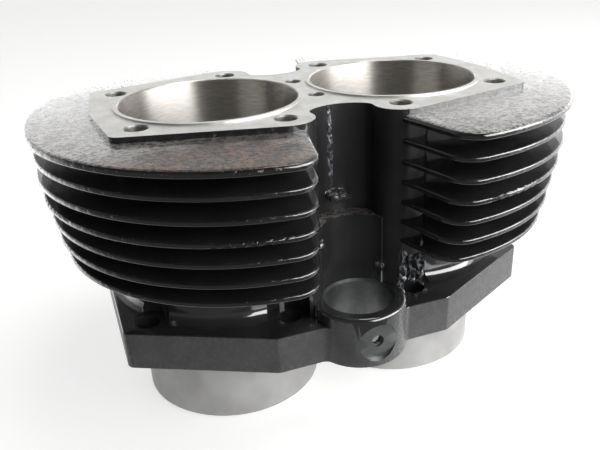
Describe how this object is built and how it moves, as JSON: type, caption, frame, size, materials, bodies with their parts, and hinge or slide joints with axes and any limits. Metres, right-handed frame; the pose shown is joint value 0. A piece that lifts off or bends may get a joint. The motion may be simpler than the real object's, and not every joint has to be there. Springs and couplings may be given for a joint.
{
  "type": "cylinder barrel",
  "caption": "Finned twin cylinder barrel casting with two bores, a stepped head joint land, a base flange with tappet bosses, and two spigots.",
  "frame": {"origin": "centre of the base joint face, midway between the two bores", "axes": "+X from the left bore to the right one, -Y to the front with its tappet boss, +Z along the bores to the head joint face"},
  "size_m": [0.2378, 0.1806, 0.1369],
  "materials": {
    "barrel": "gloss black paint over cast iron, bare machined joint faces, bores and spigots"
  },
  "bodies": {
    "root": {"cylinder_barrel": "barrel"}
  },
  "joints": []
}
